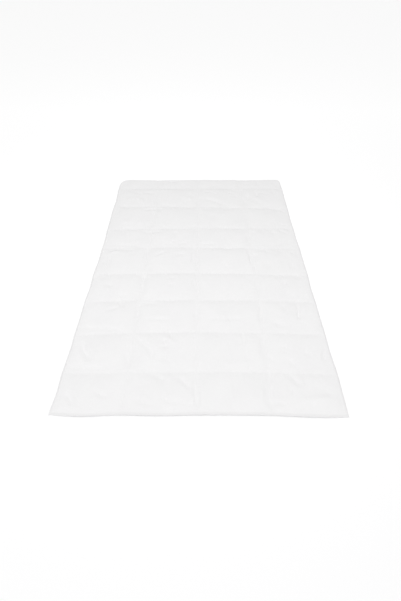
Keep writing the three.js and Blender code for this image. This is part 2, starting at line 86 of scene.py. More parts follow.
# How much lower the hem's two faces are in the near corners, and the square of how far that reaches
NEAR_CORNER_TOP = 4.3
NEAR_CORNER_UNDER = 4.8
NEAR_CORNER_REACH = 5200

# The hem gives way to the rounded far end from this far before the turned-under strip's edge to this far past
# it, and its height to that of the seams over one part in this many of a box or band
HEM_ENDS = (50, 15)
HEM_RISE = 6

# Share of the thickness at which the rim has its edge, and how far from the near end the sides droop in full
MID_THICKNESS = 0.45
FULL_DROOP = 70

# The lower face rises to a seam over this share of a band and of a box, and to this share of the hem's
# height at the sides. Where it is turned under it rises half as far, with a groove this wide along its edge.
UNDER_BAND = 0.14
UNDER_BOX = 0.1
UNDER_SIDE = 0.9
UNDER_TURNED = 0.5
GROOVE = 6
GROOVE_DEPTH = 0.8

# Crosswise seams: from the near end at the left, middle and right, then how open at the left and right
CROSS_SEAMS = np.array([
    (192, 202, 193, 0.92, 0.96),
    (412, 430, 416, 1, 0.94),
    (632, 651, 635, 1, 1),
    (852, 863, 846, 1, 1),
    (1092, 1101, 1086, 0.96, 1),
    (1284, 1304, 1308, 0.8, 1),
    (1565, 1561, 1539, 0.84, 1),
    (1810, 1821, 1819, 0.98, 0.66),
])

# Lengthwise seams: from the centre line at the near end, middle and far end, then how deep they are there
LONG_SEAMS = np.array([
    (-356, -347, -357, 0.65, 0.95, 0.45),
    (-15, -18, -22, 0.6, 0.8, 0.3),
    (324, 346, 318, 1.05, 0.8, 0.5),
])

# How full each box is, near band first, left box first
FULLNESS = np.array([
    (0.84, 0.96, 0.9, 0.8),
    (0.95, 1.04, 1.0, 0.88),
    (0.92, 1.0, 1.06, 0.9),
    (0.98, 1.08, 1.02, 0.98),
    (0.88, 1.04, 1.08, 0.94),
    (0.86, 0.94, 0.96, 0.82),
    (0.98, 1.06, 1.0, 0.96),
    (1.02, 1.1, 1.04, 0.98),
    (0.9, 1.0, 1.02, 0.94),
])

# How far the left and the right side stand out, by distance from the near end
SIDES = np.array([
    (0, 7, -4), (100, 1, 0), (193, 4, 3), (330, -1, -1), (419, 1, 1), (530, -1, 0), (635, 1, 1),
    (750, -5, -1), (862, -1, 3), (985, -7, 2), (1097, -6, 3), (1190, -7, -1), (1282, -3, 0),
    (1410, -1, -2), (1532, 1, 1), (1670, -2, 1), (1810, 6, 4), (1890, 2, 0), (1948, 0, -2),
], float)

# How far the near and the far end stand out, by share of the width from the left
ENDS = np.array([
    (0, 1, -4), (0.05, 5.5, 2), (0.12, 7.5, 0), (0.24, 1.5, -1), (0.38, 4, -1), (0.49, 0.5, 4),
    (0.62, 0, 1), (0.75, 1.5, 6), (0.86, 7.5, 3), (0.94, 9.5, 9), (1, 7.5, 7),
])

# A crease's section has lips beside it, and its ends fade over this many widths
CREASE_LIPS = 0.6
CREASE_SPREAD = 1.4
CREASE_FADE = 1.6

# How much of a crease and of a small fold is left on a seam
CREASE_ON_SEAM = 0.25
FOLD_ON_SEAM = 0.4

# Creases: from x, y to x, y, width and depth, where a ridge has a negative depth
CREASES = [
    (-654, 103, -578, 48, 21, 2.4),
    (426, 178, 530, 108, 22, 1.5),
    (500, 166, 622, 80, 24, 2.0),
    (-104, 168, -48, 124, 22, 1.6),
    (-228, 182, -151, 130, 20, 1.2),
    (-628, 366, -540, 260, 24, 2.6),
    (-334, 376, -204, 286, 21, 1.8),
    (-300, 330, -188, 256, 20, 1.4),
    (634, 346, 628, 266, 20, 2.0),
    (-166, 412, -120, 350, 20, 1.8),
    (178, 402, 222, 358, 20, 1.8),
    (396, 494, 618, 440, 26, 3.0),
    (424, 578, 536, 508, 24, -1.7),
    (562, 606, 556, 508, 22, 2.4),
    (476, 620, 470, 574, 20, 1.8),
    (-656, 838, -566, 816, 20, 2.0),
    (-656, 912, -574, 894, 20, 1.8),
    (-658, 960, -584, 950, 20, 1.6),
    (360, 1706, 516, 1556, 28, 2.8),
    (12, 1670, 202, 1582, 28, 3.2),
    (64, 1874, 316, 1768, 26, 3.0),
    (-338, 398, -236, 310, 15, 4.2),
    (-236, 198, -162, 154, 15, 3.8),
    (322, 304, 336, 262, 16, 4.4),
    (404, 496, 446, 468, 16, 3.8),
    (470, 626, 472, 588, 15, 3.8),
    (-412, 860, -330, 824, 19, 4.2),
    (586, 1080, 618, 1034, 15, 3.8),
    (-552, 1296, -536, 1244, 17, 4.4),
    (-347, 1306, -330, 1266, 16, 4.0),
    (284, 1302, 338, 1282, 16, 4.0),
    (-442, 1580, -400, 1568, 17, 4.0),
    (-120, 1552, -60, 1552, 19, 4.2),
    (-532, 1776, -478, 1728, 21, 4.8),
    (-592, 1806, -552, 1766, 19, 4.2),
]

# Hollows: x, y, radius and depth
HOLLOWS = [
    (-352, 818, 34, 3.4),
    (345, 822, 32, 4.0),
    (366, 290, 42, 2.4),
    (470, 1284, 55, 1.8),
    (590, 1500, 48, 2.4),
    (-22, 1090, 30, 2.0),
    (-350, 1082, 30, 2.0),
    (-640, 416, 28, 2.2),
    (-642, 632, 28, 2.2),
    (-640, 1094, 28, 2.2),
    (-632, 662, 27, 3.8),
    (312, 810, 28, 4.4),
    (-348, 988, 27, 4.2),
    (506, 1496, 30, 4.2),
]

# Small folds, in the same columns as the creases
SMALL_FOLDS = [
    (-240, 306, -236, 266, 14, 3.8),
    (-108, 180, -44, 120, 15, 3.6),
    (-20, 152, -18, 92, 16, 5.7),
    (-18, 92, -8, 42, 15, 5.3),
    (-600, 320, -548, 270, 18, 6.1),
    (-622, 368, -592, 324, 16, 5.3),
    (-628, 98, -600, 80, 18, 5.7),
    (-600, 80, -572, 44, 18, 6.1),
    (-572, 218, -552, 204, 19, 5.7),
    (-650, 228, -480, 222, 14, 4.6),
    (-488, 102, -436, 78, 14, 3.8),
    (-172, 66, -100, 52, 14, 3.8),
    (-70, 48, -10, 40, 12, 3.4),
    (-284, 64, -232, 42, 14, 3.8),
    (-152, 420, -146, 402, 14, 4.9),
    (-172, 402, -122, 352, 16, -4.2),
    (-200, 382, -176, 368, 16, 4.6),
    (-200, 344, -165, 342, 14, 4.2),
    (-196, 286, -156, 256, 16, 4.9),
    (-372, 298, -354, 244, 15, 4.6),
    (-322, 284, -312, 268, 16, 4.6),
    (-345, 196, -338, 160, 16, 5.3),
    (314, 46, 318, 152, 21, 5.0),
    (337, 152, 343, 205, 15, 6.1),
    (338, 290, 366, 268, 15, 5.7),
    (328, 404, 324, 312, 20, 4.9),
    (352, 320, 356, 298, 14, 3.8),
    (424, 192, 446, 180, 18, 4.6),
    (446, 178, 470, 142, 16, 4.9),
    (428, 118, 440, 96, 14, 3.4),
    (442, 264, 474, 242, 18, 5.7),
    (476, 62, 612, 76, 20, -4.6),
    (652, 356, 634, 314, 12, 6.5),
    (634, 314, 620, 264, 12, 6.1),
    (230, 410, 228, 364, 12, 4.9),
    (236, 298, 234, 278, 15, 3.8),
    (130, 246, 262, 246, 19, -3.4),
    (336, 52, 402, 48, 12, 3.8),
    (500, 10, 545, 24, 12, 4.2),
    (612, 6, 654, 36, 12, 4.6),
    (640, 152, 654, 112, 11, 3.8),
    (640, 252, 648, 226, 11, 3.8),
    (426, 348, 452, 330, 12, 3.4),
    (418, 326, 440, 312, 12, 3.0),
    (534, 318, 546, 292, 15, 4.2),
    (-640, 456, -430, 446, 16, 4.6),
    (-520, 574, -470, 594, 14, 3.8),
    (-460, 640, -440, 606, 18, 5.7),
    (-344, 634, -350, 592, 20, 5.7),
    (-350, 592, -344, 522, 18, 4.9),
    (-330, 624, -250, 622, 16, 3.8),
    (-300, 512, -180, 510, 12, 3.4),
    (-25, 566, -20, 520, 20, 4.6),
    (-372, 706, -366, 652, 12, 3.8),
    (-482, 680, -430, 680, 11, 3.4),
    (-345, 862, -344, 800, 19, 6.8),
    (-344, 800, -340, 704, 18, 5.7),
    (-500, 854, -478, 832, 16, 4.9),
    (-606, 860, -592, 814, 14, 4.6),
    (-570, 864, -556, 818, 14, 4.6),
    (-556, 768, -530, 754, 18, 4.6),
    (-572, 748, -520, 692, 19, -3.8),
    (-560, 664, -546, 628, 12, 3.8),
    (-20, 872, -18, 802, 15, 6.5),
    (-40, 806, -38, 748, 12, 3.8),
    (-14, 792, -12, 702, 12, 4.2),
    (-188, 774, -164, 758, 16, 3.4),
    (-202, 824, -150, 818, 14, 3.0),
    (562, 624, 544, 518, 12, 5.3),
    (330, 506, 342, 578, 12, 5.3),
    (354, 522, 362, 592, 12, 3.8),
    (50, 517, 220, 515, 14, 3.0),
    (475, 854, 478, 822, 15, 6.1),
    (500, 846, 542, 840, 19, 4.9),
    (576, 840, 624, 832, 19, 5.3),
    (512, 802, 508, 748, 12, 3.8),
    (640, 748, 622, 706, 12, 4.9),
    (558, 484, 576, 464, 15, 3.8),
    (-640, 1018, -618, 942, 11, 4.9),
    (-612, 1012, -600, 902, 11, 4.2),
    (-590, 1002, -575, 922, 11, 3.8),
    (-348, 1092, -350, 1012, 19, 5.7),
    (-352, 882, -344, 932, 12, -3.8),
    (-318, 872, -322, 894, 12, -3.0),
    (-580, 1122, -410, 1116, 15, 4.9),
    (-590, 1068, -562, 1084, 18, 5.3),
    (-562, 1084, -440, 1074, 16, 4.9),
    (-600, 1042, -540, 1064, 16, -4.2),
    (-296, 1024, -226, 1060, 15, 4.6),
    (-160, 1032, -108, 1032, 19, 3.8),
    (-46, 1100, -48, 952, 12, 4.6),
    (-21, 1092, -20, 902, 12, 5.7),
    (-345, 1192, -345, 1132, 16, 4.6),
    (-550, 1300, -460, 1296, 15, 5.3),
    (-400, 1260, -286, 1262, 16, 5.3),
    (-180, 1264, -176, 1234, 16, 4.9),
    (-220, 1144, -196, 1136, 14, 3.8),
    (-190, 1166, -168, 1162, 11, 3.8),
    (-145, 1132, -90, 1156, 16, 4.9),
    (-264, 1316, -232, 1312, 14, 4.6),
    (-80, 1322, 22, 1320, 14, 5.3),
    (-650, 1280, -632, 1254, 15, 6.5),
    (-392, 1354, -386, 1314, 11, 3.8),
    (20, 1138, 95, 1136, 14, 5.3),
    (150, 1094, 206, 1092, 16, 4.6),
    (322, 1088, 326, 1022, 18, 6.1),
    (328, 1024, 326, 948, 12, 6.5),
    (362, 1034, 368, 998, 16, 5.7),
    (374, 1080, 440, 1074, 16, 4.6),
    (440, 1082, 444, 1048, 16, 5.7),
    (530, 1082, 538, 1048, 18, 5.7),
    (644, 1084, 632, 1012, 11, 5.7),
    (558, 1174, 546, 1128, 16, 4.9),
    (600, 1154, 598, 1128, 14, 4.6),
    (652, 1144, 630, 1128, 14, 4.6),
    (337, 1244, 330, 1142, 15, 4.9),
    (170, 1296, 266, 1306, 16, 4.9),
    (400, 1296, 500, 1294, 16, 4.6),
    (352, 1270, 372, 1254, 16, 4.6),
    (425, 1276, 450, 1260, 16, 4.9),
    (500, 1272, 520, 1244, 15, 4.2),
    (560, 1294, 566, 1272, 14, 5.3),
    (580, 1272, 610, 1244, 16, 5.7),
    (612, 1304, 640, 1284, 14, 5.7),
    (514, 1362, 520, 1318, 14, -3.4),
    (575, 1348, 640, 1342, 12, 3.4),
    (585, 952, 578, 904, 15, 5.3),
    (514, 962, 508, 932, 12, -3.8),
    (150, 924, 196, 910, 14, 3.8),
    (-592, 1570, -558, 1552, 18, 5.7),
    (-532, 1569, -480, 1560, 16, 3.8),
    (-430, 1526, -290, 1534, 18, 5.7),
    (-302, 1594, -280, 1570, 18, 5.7),
    (-280, 1582, -180, 1562, 16, 4.6),
    (-482, 1664, -438, 1614, 19, -4.9),
    (-642, 1604, -628, 1504, 11, 4.9),
    (-620, 1544, -612, 1454, 11, 4.6),
    (-450, 1752, -380, 1748, 19, 5.3),
    (-628, 1834, -622, 1780, 15, 6.1),
    (-336, 1928, -330, 1874, 27, 5.3),
    (-350, 1788, -240, 1784, 19, -3.8),
    (-270, 1916, -205, 1916, 12, 3.8),
    (-122, 1692, -70, 1652, 24, -5.3),
    (-128, 1642, -116, 1604, 16, 3.8),
    (-342, 1484, -338, 1448, 19, 3.8),
    (-310, 1492, -304, 1458, 14, -4.2),
    (60, 1668, 182, 1602, 22, 4.7),
    (222, 1760, 252, 1742, 16, 5.7),
    (112, 1748, 124, 1728, 14, 4.6),
    (40, 1768, 86, 1764, 14, 4.2),
    (332, 1804, 328, 1764, 15, 5.7),
    (310, 1938, 410, 1938, 15, 4.2),
    (446, 1762, 452, 1694, 16, 4.9),
    (480, 1756, 512, 1740, 19, 5.7),
    (372, 1724, 384, 1664, 19, 4.9),
    (180, 1534, 242, 1534, 18, 5.3),
    (30, 1536, 72, 1536, 20, 4.9),
    (560, 1526, 616, 1526, 18, 5.3),
    (616, 1528, 630, 1484, 15, 5.7),
    (650, 1604, 642, 1562, 11, 5.7),
    (600, 1824, 655, 1810, 19, 5.7),
    (585, 1794, 580, 1734, 14, 3.8),
    (640, 1882, 630, 1844, 14, 4.6),
]

# Dimples, and bumps with a negative depth, in the same columns as the hollows
DIMPLES = [
    (-302, 672, 17, 2.8),
    (606, 680, 24, 4.9),
    (-450, 1042, 16, 3.8),
    (-240, 924, 17, -3.0),
    (-545, 1372, 29, -4.6),
    (-440, 1364, 26, -4.2),
    (-432, 1164, 17, -3.0),
    (-30, 1286, 22, 4.6),
    (265, 1230, 36, -3.8),
    (470, 1350, 22, 3.0),
    (430, 938, 26, 3.8),
    (500, 1004, 24, -3.0),
    (-560, 1658, 19, -4.6),
    (-498, 1670, 17, -3.8),
    (280, 1702, 17, 4.2),
    (378, 1892, 26, 5.3),
    (380, 1822, 26, 4.6),
    (470, 1884, 24, 3.8),
    (345, 1640, 41, 4.6),
    (446, 1670, 24, -4.9),
    (497, 1562, 16, 5.3),
    (90, 1484, 22, -3.0),
    (165, 1464, 22, -3.0),
]

BANDS = len(FULLNESS)
BOXES = len(LONG_SEAMS) + 1
LAST_BAND = LENGTH - HEM - CROSS_SEAMS[-1, 1]

# Cells of the shell across each box and each band, all even numbers
BOX_CELLS = [48, 48, 48, 48]
BAND_CELLS = [28, 32, 32, 32, 32, 28, 36, 36, 16]

# How much closer together they lie beside a seam than in the middle of a box
CLOSER = 0.3

# A cell is divided in four where its middle would miss a fold by more than this
MISS = 0.15

# The cloth simulation: frames, pressure of the filling, and how much larger the cloth is than its place
SIM_FRAMES = 24
SIM_PRESSURE = 4.0
SIM_SLACK = 0.012

# How much of the gathers of a fully blown-up cover show on this flat one, and the order of the curves that
# stand for a box's rounded form
PUCKER_SHARE = 0.6
FORM_ORDER = 8

# How deep the stitches pinch the cloth and how wide, on crosswise and on lengthwise lines
CROSS_PINCH = 0.5
CROSS_PINCH_REACH = 5.0
LONG_PINCH = 0.8
LONG_PINCH_REACH = 5.0
NEAR_HEM_PINCH = 0.5
SIDE_HEM_PINCH = 0.25

# The most that the small folds sink or rise together
FOLD_LIMITS = (-7, 5)

# The least that the upper face stays above the lower one
LEAST_GAP = 1.2

# Painted shade along the edges: the hem's colour beside that of the filled cloth, made darker
HEM_SHADE_TONE = (0.955, 0.955, 0.955, 1)

# Stitches: how far apart they start, how long each is, and the thread's rings: share of the stitch, height
# above the cloth and radius
PITCH = 3.3
STITCH = 2.6
UP_RINGS = [(0, -0.3, 0.15), (0.2, 0.16, 0.2), (0.8, 0.16, 0.2), (1, -0.3, 0.15)]
UP_SIDES = 5
UNDER_RINGS = [(0, -0.3, 0.15), (0.5, 0.16, 0.2), (1, -0.3, 0.15)]
UNDER_SIDES = 4

# The rim outwards from the hem's stitch line: inset from the outline, and the share of the height between
# mid-thickness and the face, on the flat hem and on the rounded far end
UPPER_RIM = [(9.6, 1.12, 0.95), (6.4, 1.3, 0.87), (3.2, 1.22, 0.7), (1.2, 0.86, 0.45), (0, 0, 0)]
LOWER_RIM = [(3, 0.72, 0.62), (8, 0.95, 0.86)]


def smoothstep(start, end, value):
    t = np.clip((value - start) / (end - start), 0, 1)
    return t * t * (3 - 2 * t)


def lerp(a, b, t):
    return a + (b - a) * t


def through(at, values, where):
    """Smooth curve through a table's rows."""
    k = np.searchsorted(at[1:-1], where, side="left")
    before = np.maximum(k - 1, 0)
    after = np.minimum(k + 2, len(at) - 1)
    span = at[k + 1] - at[k]
    t = np.clip((where - at[k]) / span, 0, 1)
    leave = (values[k + 1] - values[before]) / (at[k + 1] - at[before]) * span
    arrive = (values[after] - values[k]) / (at[after] - at[k]) * span
    rise = values[k + 1] - values[k]
    curve = (leave + arrive - 2 * rise) * t + (3 * rise - 2 * leave - arrive)
    return values[k] + leave * t + curve * t * t


def bow(first, middle, last, t):
    return first * (1 - t) * (1 - 2 * t) + middle * 4 * t * (1 - t) + last * t * (2 * t - 1)


def wander(k, t):
    return 1.6 * np.sin(9 * t + 2.3 * k) + 1.1 * np.sin(23 * t + 1.1 * k)


def pick(rows, k):
    """The row of a list of arrays that k names at each place."""
    return np.choose(k, rows)


def cross_line(k, across):
    if k == 0:
        return HEM - through(ENDS[:, 0], ENDS[:, 1], across)
    if k == BANDS:
        return LENGTH - HEM + through(ENDS[:, 0], ENDS[:, 2], across)
    left, middle, right = CROSS_SEAMS[k - 1, :3]
    return bow(left, middle, right, across) + wander(k, across)


def long_line(k, y):
    t = np.clip(y / LENGTH, 0, 1)
    if k == 0:
        return -WIDTH / 2 + HEM - through(SIDES[:, 0], SIDES[:, 1], y)
    if k == BOXES:
        return WIDTH / 2 - HEM + through(SIDES[:, 0], SIDES[:, 2], y)
    near, middle, far = LONG_SEAMS[k - 1, :3]
    return bow(near, middle, far, t) + wander(k + 5, t)


def round_corner(x, y, side_x, end_y, reach, outwards):
    s = np.maximum(1 - (side_x - x) * outwards / reach, 0)
    t = np.maximum(1 - (end_y - y) / reach, 0)
    inside = (s > 0) & (t > 0)
    new_x = side_x - outwards * reach * (1 - s * np.sqrt(np.maximum(1 - t * t / 2, 0)))
    new_y = end_y - reach * (1 - t * np.sqrt(np.maximum(1 - s * s / 2, 0)))
    return np.where(inside, new_x, x), np.where(inside, new_y, y)


def cell_of(column, row):
    """The box and the band that places are in."""
    box = np.clip(np.floor(column), 0, BOXES - 1).astype(int)
    return box, np.clip(np.floor(row), 0, BANDS - 1).astype(int)


def plan(column, row, sideways=0.0, endways=0.0):
    """Plan position of places in the grid. column and row count boxes and bands."""
    across = np.clip(column / BOXES, 0, 1)
    box, band = cell_of(column, row)
    lines = [cross_line(k, across) for k in range(BANDS + 1)]
    near = pick(lines[:-1], band)
    far = pick(lines[1:], band)
    y = lerp(near, far, row - band) + endways
    sides = [long_line(k, y) for k in range(BOXES + 1)]
    x = lerp(pick(sides[:-1], box), pick(sides[1:], box), column - box) + sideways
    end = cross_line(BANDS, across) + HEM
    left, right = sides[0] - HEM, sides[-1] + HEM
    x, y = round_corner(x, y, left, end, LEFT_CORNER, -1)
    return round_corner(x, y, right, end, RIGHT_CORNER, 1)


def cross_depth(k, across):
    """How deep crosswise line k is. The rounded far end has no seam of its own."""
    seam = CROSS_SEAMS[np.clip(k - 1, 0, BANDS - 2)]
    return np.where(k == 0, 1, np.where(k == BANDS, 0, lerp(seam[..., 3], seam[..., 4], across)))


def long_depth(k, y):
    seam = LONG_SEAMS[np.clip(k - 1, 0, BOXES - 2)]
    depth = bow(seam[..., 3], seam[..., 4], seam[..., 5], np.clip(y / LENGTH, 0, 1))
    return np.where((k == 0) | (k == BOXES), 1, depth)


def valley(distance, reach):
    return np.exp((SEAM_ROUNDING - np.hypot(distance, SEAM_ROUNDING)) / reach)


def near_reach(band):
    return np.where(band == 0, CROSS_VALLEY, NEAR_VALLEY)


def long_reach(k):
    """The filling rises less steeply from the hem's lines than from a lengthwise seam."""
    return np.where((k == 0) | (k == BOXES), SIDE_VALLEY, LONG_VALLEY)


def crease_height(crease, x, y):
    from_x, from_y, to_x, to_y, width, depth = crease
    dx, dy = to_x - from_x, to_y - from_y
    size = math.hypot(dx, dy)
    lengthwise = ((x - from_x) * dx + (y - from_y) * dy) / size
    aside = ((x - from_x) * dy - (y - from_y) * dx) / size
    t = aside / width
    fade = width * CREASE_FADE
    ends = smoothstep(-fade, fade, lengthwise) * smoothstep(-fade, fade, size - lengthwise)
    return -depth * (1 - CREASE_LIPS * t * t) * np.exp(-t * t / CREASE_SPREAD) * ends


def hollow_height(hollow, x, y):
    at_x, at_y, radius, depth = hollow
    return -depth * np.exp(-((x - at_x) ** 2 + (y - at_y) ** 2) / radius**2)


def lumps(x, y):
    broad = np.sin(x / 143 + 0.7) * np.sin(y / 171 + 1.9)
    fine = np.sin(x / 61 + y / 97 + 0.4) * np.sin(y / 74 - x / 118)
    return 0.9 * broad + 0.7 * fine


def near_corner(x, y):
    to_side = WIDTH / 2 - np.abs(x)
    return np.exp(-(to_side * to_side + y * y) / NEAR_CORNER_REACH)


def to_far_end(row):
    return HEM + (BANDS - row) * LAST_BAND


def far_end(row):
    return 1 - smoothstep(TURNED_UNDER - HEM_ENDS[1], TURNED_UNDER + HEM_ENDS[0], to_far_end(row))


def hem_top(row, x, y):
    return lerp(HEM_TOP - NEAR_CORNER_TOP * near_corner(x, y), FOLD_TOP, far_end(row))


def hem_under(row, x, y):
    return lerp(HEM_UNDER - NEAR_CORNER_UNDER * near_corner(x, y), FOLD_UNDER, far_end(row))


def upper_height(column, row, x, y):
    """Height of the filled upper face: its smooth form and what the creases add."""
    box, band = cell_of(column, row)
    across = column / BOXES
    p, q = row - band, column - box
    lines = [cross_line(k, across) for k in range(BANDS + 1)]
    band_size = pick(lines[1:], band) - pick(lines[:-1], band)
    sides = [long_line(k, y) for k in range(BOXES + 1)]
    box_size = pick(sides[1:], box) - pick(sides[:-1], box)
    near_seam = cross_depth(band, across) * valley(p * band_size, near_reach(band))
    far_seam = cross_depth(band + 1, across) * valley((1 - p) * band_size, CROSS_VALLEY)
    left_seam = long_depth(box, y) * valley(q * box_size, long_reach(box))
    right_seam = long_depth(box + 1, y) * valley((1 - q) * box_size, long_reach(box + 1))
    dome = 1 - DOME * (1 - 16 * p * (1 - p) * q * (1 - q))
    filling = (1 - near_seam - far_seam) * (1 - left_seam - right_seam) * dome
    inside = np.clip(np.minimum(np.minimum(row, column), BOXES - column) * HEM_RISE, 0, 1)
    height = lerp(hem_top(row, x, y), SEAM_TOP, inside) + LOFT * FULLNESS[band, box] * filling
    height += lumps(x, y) * filling
    creases = sum(crease_height(c, x, y) for c in CREASES) * lerp(CREASE_ON_SEAM, 1, filling) * inside
    creases += sum(hollow_height(h, x, y) for h in HOLLOWS) * filling
    small = sum(crease_height(c, x, y) for c in SMALL_FOLDS) + sum(hollow_height(h, x, y) for h in DIMPLES)
    return height, creases + np.clip(small, *FOLD_LIMITS) * lerp(FOLD_ON_SEAM, 1, filling) * inside


def lower_height(column, row, x, y):
    box, band = cell_of(column, row)
    p, q = row - band, column - box
    near = 1 - np.minimum(1, p / UNDER_BAND)
    far = np.where(band == BANDS - 1, 0, 1 - np.minimum(1, (1 - p) / UNDER_BAND))
    side = 1 - np.minimum(1, np.minimum(q, 1 - q) / UNDER_BOX)
    on_hem = (row == 0) | (column == 0) | (column == BOXES)
    top = np.where(on_hem, hem_under(row, x, y), SEAM_UNDER)
    turned = to_far_end(row)
    groove = 1 - np.minimum(1, np.abs(turned - TURNED_UNDER) / GROOVE)
    under_end = np.where(turned < TURNED_UNDER, UNDER_TURNED, 1)
    other = np.maximum(side * UNDER_SIDE * under_end, groove * GROOVE_DEPTH)
    lift = np.maximum(np.maximum(near, far), other)
    return top * lift


def places(cells, count, rim):
    """Grid lines: box or band counts, then how far outside the stitch line, then the rim's ring."""
    shares = [(k, i / cells[k]) for k in range(count) for i in range(cells[k])]
    inner = [(k + t - CLOSER * math.sin(2 * math.pi * t) / (2 * math.pi), 0.0, -1) for k, t in shares]
    inner.append((float(count), 0.0, -1))
    first = [(0.0, -(HEM - r[0]), k) for k, r in enumerate(rim)][::-1]
    last = [(float(count), HEM - r[0], k) for k, r in enumerate(rim)]
    return np.array(first + inner + last)


def rim_height(column, row, x, y, ring, upper):
    """Height on the rim beside the stitch line, from a ring's row of the rim table."""
    inner_x, inner_y = plan(column, row)
    top = sum(upper_height(column, row, inner_x, inner_y))
    under = lower_height(column, row, inner_x, inner_y)
    middle = lerp(under, top, MID_THICKNESS)
    share = lerp(ring[..., 1], ring[..., 2], far_end(row))
    full = lerp(NEAR_DROOP, SIDE_DROOP, smoothstep(0, FULL_DROOP, inner_y - HEM))
    droop = full * (1 - ring[..., 0] / HEM) * hem_under(row, inner_x, inner_y) / HEM_UNDER
    return middle - droop + (np.where(upper, top, under) - middle) * share


# Camera
eye = bpy.data.cameras.new("camera")
eye.lens = LENS
eye.sensor_width = SENSOR
eye.clip_end = 50
camera = bpy.data.objects.new("camera", eye)
scene.collection.objects.link(camera)
turn = Matrix.Rotation(math.radians(YAW), 4, "Z") @ Matrix.Rotation(math.radians(90 - PITCH_DOWN), 4, "X")
camera.matrix_world = Matrix.Translation(EYE) @ turn @ Matrix.Rotation(math.radians(ROLL), 4, "Z")
scene.camera = camera
scene.view_settings.view_transform = "Standard"
scene.view_settings.look = "None"


def new_object(name, points, faces, smooth=True):
    mesh = bpy.data.meshes.new(name)
    mesh.from_pydata([tuple(p) for p in points], [], [tuple(f) for f in faces])
    mesh.polygons.foreach_set("use_smooth", [smooth] * len(mesh.polygons))
    mesh.update()
    made = bpy.data.objects.new(name, mesh)
    scene.collection.objects.link(made)
    return made


def grid_quads(index):
    """Quads of a grid of point numbers, facing up."""
    a, b, c, d = index[:-1, :-1], index[:-1, 1:], index[1:, 1:], index[1:, :-1]
    return np.stack([a, b, c, d], -1).reshape(-1, 4)


def blown_up(points, faces, held):
    """The sheet between its held points once the filling presses it up."""
    sheet = new_object("sheet", points, faces)
    group = sheet.vertex_groups.new(name="held")
    group.add([int(i) for i in held], 1.0, "REPLACE")
    cloth = sheet.modifiers.new("cloth", "CLOTH")
    settings = cloth.settings
    settings.quality = 4
    settings.mass = 0.3
    settings.air_damping = 1
    settings.tension_stiffness = 15
    settings.compression_stiffness = 15
    settings.shear_stiffness = 6
    settings.bending_stiffness = 0.02
    settings.tension_damping = 8
    settings.compression_damping = 8
    settings.shear_damping = 8
    settings.bending_damping = 0.5
    settings.vertex_group_mass = "held"
    settings.use_pressure = True
    settings.uniform_pressure_force = SIM_PRESSURE
    settings.shrink_min = -SIM_SLACK
    settings.shrink_max = -SIM_SLACK
    settings.effector_weights.gravity = 0
    cloth.collision_settings.use_collision = False
    cloth.collision_settings.use_self_collision = False
    cloth.point_cache.frame_start = 1
    cloth.point_cache.frame_end = SIM_FRAMES
    for step in range(1, SIM_FRAMES + 1):
        scene.frame_set(step)
    shape = sheet.evaluated_get(bpy.context.evaluated_depsgraph_get()).data
    co = np.zeros(len(shape.vertices) * 3)
    shape.vertices.foreach_get("co", co)
    mesh = sheet.data
    bpy.data.objects.remove(sheet)
    bpy.data.meshes.remove(mesh)
    scene.frame_set(1)
    return co.reshape(-1, 3)


def pinch_of(column, row, x, y):
    """The thread draws the cloth in to a sharp line along the stitches."""
    box, band = cell_of(column, row)
    across = np.clip(column / BOXES, 0, 1)
    lines = [cross_line(k, across) for k in range(BANDS + 1)]
    sides = [long_line(k, y) for k in range(BOXES + 1)]
    near = np.where(band == 0, NEAR_HEM_PINCH, 1) * np.exp((pick(lines[:-1], band) - y) / CROSS_PINCH_REACH)
    far = np.where(band == BANDS - 1, 0, 1) * np.exp((y - pick(lines[1:], band)) / CROSS_PINCH_REACH)
    left = np.where(box == 0, SIDE_HEM_PINCH, long_depth(box, y))
    left = left * np.exp((pick(sides[:-1], box) - x) / LONG_PINCH_REACH)
    right = np.where(box == BOXES - 1, SIDE_HEM_PINCH, long_depth(box + 1, y))
    right = right * np.exp((x - pick(sides[1:], box)) / LONG_PINCH_REACH)
    return np.maximum(CROSS_PINCH * np.maximum(near, far), LONG_PINCH * np.maximum(left, right))


def puckers_of(height):
    """What the cloth gathers along the seams, without the rounded form of each box."""
    left = np.zeros_like(height)
    for r0, r1 in zip(seam_rows[:-1], seam_rows[1:]):
        for c0, c1 in zip(seam_columns[:-1], seam_columns[1:]):
            box = height[r0 : r1 + 1, c0 : c1 + 1]
            rows_basis = np.polynomial.legendre.legvander(np.linspace(-1, 1, box.shape[0]), FORM_ORDER)
            columns_basis = np.polynomial.legendre.legvander(np.linspace(-1, 1, box.shape[1]), FORM_ORDER)
            fit = np.linalg.pinv(rows_basis) @ box @ np.linalg.pinv(columns_basis).T
            left[r0 : r1 + 1, c0 : c1 + 1] = box - rows_basis @ fit @ columns_basis.T
    return left


# Upper face as a grid of rows and columns
columns = places(BOX_CELLS, BOXES, UPPER_RIM)
rows = places(BAND_CELLS, BANDS, UPPER_RIM)
seam_rows = len(UPPER_RIM) + np.cumsum([0] + BAND_CELLS)
seam_columns = len(UPPER_RIM) + np.cumsum([0] + BOX_CELLS)
COLUMN, ROW = np.meshgrid(columns[:, 0], rows[:, 0])
SIDEWAYS, ENDWAYS = np.meshgrid(columns[:, 1], rows[:, 1])
RING = np.maximum(*np.meshgrid(columns[:, 2], rows[:, 2])).astype(int)
X, Y = plan(COLUMN, ROW, SIDEWAYS, ENDWAYS)
SMOOTH, FOLDS = upper_height(COLUMN, ROW, X, Y)
rim_table = np.array(UPPER_RIM)
ON_RIM = RING >= 0
Z = np.where(ON_RIM, rim_height(COLUMN, ROW, X, Y, rim_table[np.maximum(RING, 0)], True), SMOOTH)
FOLDS = np.where(ON_RIM, 0, FOLDS)
shift_x = (X.min() + X.max()) / 2
shift_y = (Y.min() + Y.max()) / 2

